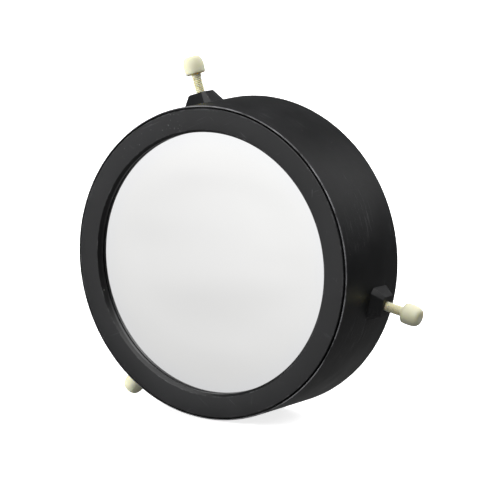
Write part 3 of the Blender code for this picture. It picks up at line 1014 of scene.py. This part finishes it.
def glowing(name, colour, strength):
    made = bpy.data.materials.new(name)
    made.use_nodes = True
    nodes = made.node_tree.nodes
    nodes.clear()
    glow = nodes.new("ShaderNodeEmission")
    glow.inputs["Color"].default_value = (*colour, 1.0)
    glow.inputs["Strength"].default_value = strength
    end = nodes.new("ShaderNodeOutputMaterial")
    made.node_tree.links.new(glow.outputs[0], end.inputs[0])
    return made


def floor_paint():
    """Pale matt paint that glows a little, so that shadows on it stay faint."""
    made = glowing("pale_floor", (1.0, 1.0, 1.0), 0.80)
    nodes, links = made.node_tree.nodes, made.node_tree.links
    matt = nodes.new("ShaderNodeBsdfDiffuse")
    matt.inputs["Color"].default_value = (0.86, 0.86, 0.86, 1.0)
    both = nodes.new("ShaderNodeAddShader")
    end = next(node for node in nodes if node.type == "OUTPUT_MATERIAL")
    glow = next(node for node in nodes if node.type == "EMISSION")
    links.new(glow.outputs[0], both.inputs[0])
    links.new(matt.outputs[0], both.inputs[1])
    links.new(both.outputs[0], end.inputs[0])
    return made


bm = bmesh.new()
bmesh.ops.create_circle(bm, cap_ends=True, segments=96, radius=FLOOR_RADIUS,
                        matrix=Matrix.Translation((0.0, 0.0, FLOOR - UNDER_THE_CAP)))
floor = small_solid("floor", bm)
floor.data.materials.append(floor_paint())
floor.visible_glossy = False
floor.visible_diffuse = False
bm = bmesh.new()
bmesh.ops.create_icosphere(bm, subdivisions=4, radius=DOME_RADIUS)
dome = small_solid("dome", bm)
dome.data.materials.append(glowing("pale_dome", (1.0, 1.0, 1.0), 1.0))
for ray in ("visible_diffuse", "visible_glossy", "visible_transmission", "visible_shadow"):
    setattr(dome, ray, False)
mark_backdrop(floor, dome)
print("floor at z =", round(FLOOR, 4))

# %% [markdown]
# The tent is written as a formula on the direction that a ray leaves in. World nodes read that
# direction from their own coordinates. It has three soft terms: overhead, low in front on the
# left, and a dim rest. The film mirrors the low one, so its slopes set how the film shades. The
# rest is a little paler below, and has one patch at the back on the right for the wall to catch.

# %% The tent


class Tent(Finish):
    """The same node tools, on the world's tree."""

    def __init__(self, world):
        world.use_nodes = True
        self.tree = world.node_tree
        self.shader = self.tree.nodes["Background"]
        self.place = self.node("ShaderNodeTexCoord", out=0)
        self.x, self.y, self.z = (self.node("ShaderNodeSeparateXYZ", self.place, out=axis)
                                  for axis in range(3))


world = bpy.data.worlds.new("tent")
bpy.context.scene.world = world
tent = Tent(world)
overhead = (tent.z * 0.96 + tent.x * 0.18 - tent.y * 0.22).step(0.68, 0.84) * 2.1
low_front = (0.88 + (tent.x + 0.532) * 1.8 + (tent.z + 0.161) * 3.5) \
    .maths("MINIMUM", 1.08).maths("MAXIMUM", 0.25)
in_front = tent.y.step(-0.35, -0.75) * tent.x.step(0.15, -0.25) * tent.z.step(0.5, 0.1)
rest = 0.08 + tent.z.step(-0.15, -0.55) * 0.10 \
    + tent.x.step(0.0, 0.4) * tent.y.step(0.3, 0.7) * tent.z.step(0.1, 0.4) * 0.75
light = overhead + low_front * in_front + rest * (1 - in_front)
tent.shader.inputs["Color"].default_value = (1.0, 1.0, 1.0, 1.0)
tent.tree.links.new(light.socket, tent.shader.inputs["Strength"])
print("tent ready")

# %% A key light, two fills that no surface mirrors, and the camera


def softbox(name, where, size, power, mirrored=True):
    lamp = bpy.data.lights.new(name, "AREA")
    lamp.shape, lamp.size, lamp.energy = "DISK", size, power
    made = add_object(name, lamp)
    made.location = where
    made.rotation_euler = Vector(where).to_track_quat("Z", "Y").to_euler()
    made.visible_glossy = mirrored


softbox("key", (0.30, -0.90, 0.62), size=0.70, power=2.5)
softbox("low_fill", (-0.80, -0.50, 0.02), size=0.50, power=15.0, mirrored=False)
softbox("back_fill", (0.10, 1.00, 0.55), size=1.00, power=14.0, mirrored=False)


def place_camera(azimuth, elevation, shift, lens):
    """Azimuth 0 looks along +Y. Shift is how far right, up and back of the front face's centre."""
    a, e = math.radians(azimuth), math.radians(elevation)
    right = Vector((math.cos(a), math.sin(a), 0.0))
    back = Vector((math.sin(a) * math.cos(e), -math.cos(a) * math.cos(e), math.sin(e)))
    up = back.cross(right)
    camera = add_object("camera", bpy.data.cameras.new("camera"))
    camera.data.lens, camera.data.sensor_width = lens, 36.0
    camera.data.clip_end = 60.0
    camera.rotation_euler = Matrix((right, up, back)).transposed().to_euler()
    camera.location = Vector((0.0, FRONT, 0.0)) + right * shift[0] + up * shift[1] \
        + back * shift[2]
    bpy.context.scene.camera = camera
    return camera


camera = place_camera(azimuth=32.005, elevation=8.771, shift=(0.0126, 0.0095, 1.0288), lens=196.8)
bpy.context.scene.view_settings.view_transform = "Standard"
bpy.context.scene.view_settings.look = "None"
print("camera at", [round(value, 3) for value in camera.location])

# %% [markdown]
# ## Finish
#
# The last cell prints the box of the finer pieces beside the measured box, which they must not
# leave, and counts the triangles.

# %% Sizes and the end
LOOKS_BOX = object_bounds()
for label, box in (("measured", MEASURED_BOX), ("looks", LOOKS_BOX)):
    print(label, [round(1000 * (box[1][axis] - box[0][axis]), 2) for axis in range(3)], "mm")
print("triangles:", sum(len(face.vertices) - 2 for piece, *_ in PIECES
                        for face in piece.data.polygons))
